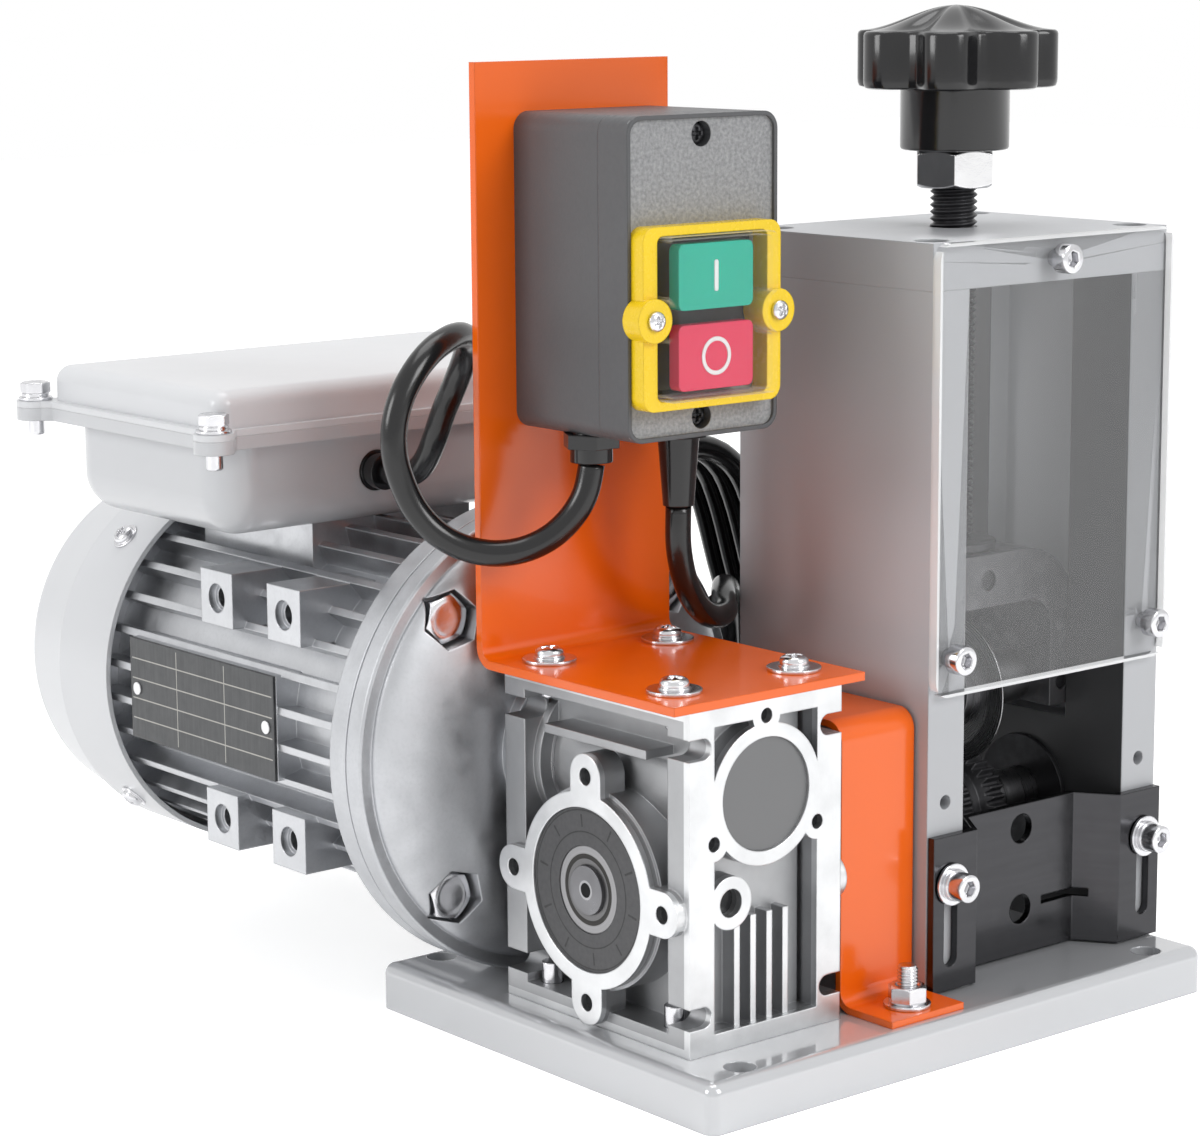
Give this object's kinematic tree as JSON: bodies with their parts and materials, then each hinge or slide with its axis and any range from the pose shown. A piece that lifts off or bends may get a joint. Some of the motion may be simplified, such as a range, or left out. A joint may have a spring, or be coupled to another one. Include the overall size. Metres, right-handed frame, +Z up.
{
  "type": "electric wire stripping machine",
  "caption": "Bench wire stripper: gear motor turns a toothed feed roller under a round blade that a star knob lowers, with slotted wire guide, clear guard and push-button switch.",
  "frame": {"origin": "centre of the four bench holes, on the ground plane under the base plate", "axes": "+X from the gearbox to the blade tower, +Y from the wire guide to the motor's fan, +Z up"},
  "size_m": [0.2595, 0.323, 0.295],
  "materials": {
    "base_paint": "gloss",
    "tower_paint": "satin",
    "orange_paint": "gloss",
    "cast_aluminium": "as cast",
    "motor_paint": "satin paint",
    "cowl_paint": "satin",
    "box_paint": "satin paint",
    "steel": "turned",
    "zinc_steel": "bright",
    "black_steel": "black oxide",
    "core_iron": "laminated",
    "bronze": "machined",
    "seal_rubber": "matt",
    "cord_rubber": "satin",
    "black_plastic": "gloss",
    "dark_plastic": "matt",
    "switch_plastic": "matt",
    "yellow_plastic": "gloss",
    "green_plastic": "gloss",
    "red_plastic": "gloss",
    "clear_plastic": "clear",
    "plate_metal": "printed"
  },
  "bodies": {
    "stand": {"base_plate": "base_paint", "gearbox_housing": "cast_aluminium", "output_seals": "seal_rubber", "output_bearings": "steel", "worm_bearings": "steel", "worm_end_cap": "cast_aluminium", "oil_plug": "black_plastic", "gearbox_screws": "zinc_steel", "input_flange": "cast_aluminium", "flange_bolts": "zinc_steel", "motor_flange": "motor_paint", "motor_body": "motor_paint", "stator": "core_iron", "motor_bearings": "steel", "rear_shield": "motor_paint", "fan_cowl": "cowl_paint", "cowl_screws": "zinc_steel", "nameplate": "plate_metal", "terminal_tub": "motor_paint", "terminal_lid": "box_paint", "lid_screws": "zinc_steel", "capacitor": "switch_plastic", "switch_bracket": "orange_paint", "bracket_screws": "zinc_steel", "shaft_guard": "orange_paint", "guard_fastener": "zinc_steel", "switch_box_base": "dark_plastic", "switch_box_cover": "dark_plastic", "switch_body": "switch_plastic", "switch_frame": "yellow_plastic", "switch_pane": "clear_plastic", "switch_screws": "zinc_steel", "left_side_plate": "tower_paint", "right_side_plate": "tower_paint", "top_block": "tower_paint", "tower_screws": "black_steel", "clear_guard": "clear_plastic", "guard_screws": "zinc_steel", "guide_screws": "zinc_steel", "shaft_bearings": "steel", "lead_glands": "black_plastic", "motor_lead": "cord_rubber", "mains_cord": "cord_rubber", "mains_plug": "black_plastic"},
    "carriage": {"blade_yoke": "steel", "yoke_screws": "black_steel", "blade_axle": "steel"},
    "spindle": {"adjusting_screw": "black_steel", "star_knob": "black_plastic"},
    "blade_wheel": {"blade": "steel", "blade_hub": "steel"},
    "rotor_set": {"rotor": "steel", "worm": "steel", "fan": "switch_plastic"},
    "output": {"output_shaft": "steel", "worm_wheel": "bronze", "feed_roller": "black_steel"},
    "start": {"start_button": "green_plastic"},
    "stop": {"stop_button": "red_plastic"},
    "guide": {"wire_guide": "black_steel"}
  },
  "joints": [
    {"name": "carriage_lift", "type": "slide", "parent": "stand", "child": "carriage", "axis": [0, 0, 1], "range_m": [-0.0008, 0.025]},
    {"name": "knob_turn", "type": "hinge", "parent": "carriage", "child": "spindle", "pos_m": [0.0495, -0.0145, 0.25], "axis": [0, 0, 1], "range_deg": [-144, 4500]},
    {"name": "blade_spin", "type": "hinge", "parent": "carriage", "child": "blade_wheel", "pos_m": [0.0495, -0.0145, 0.0912], "axis": [1, 0, 0], "continuous": true},
    {"name": "motor_spin", "type": "hinge", "parent": "stand", "child": "rotor_set", "pos_m": [-0.061, 0.12, 0.084], "axis": [0, 1, 0], "continuous": true},
    {"name": "output_spin", "type": "hinge", "parent": "stand", "child": "output", "pos_m": [0.0495, -0.0145, 0.054], "axis": [1, 0, 0], "continuous": true},
    {"name": "start_press", "type": "slide", "parent": "stand", "child": "start", "axis": [0, 1, 0], "range_m": [0, 0.003], "stiffness_N_per_m": 400},
    {"name": "stop_press", "type": "slide", "parent": "stand", "child": "stop", "axis": [0, 1, 0], "range_m": [0, 0.003], "stiffness_N_per_m": 400},
    {"name": "guide_lift", "type": "slide", "parent": "stand", "child": "guide", "axis": [0, 0, 1], "range_m": [0, 0.021]}
  ],
  "couplings": [
    {"joint": "knob_turn", "follows": "carriage_lift", "rad_per_m": 3141.6},
    {"joint": "output_spin", "follows": "motor_spin", "ratio": -0.033333}
  ]
}
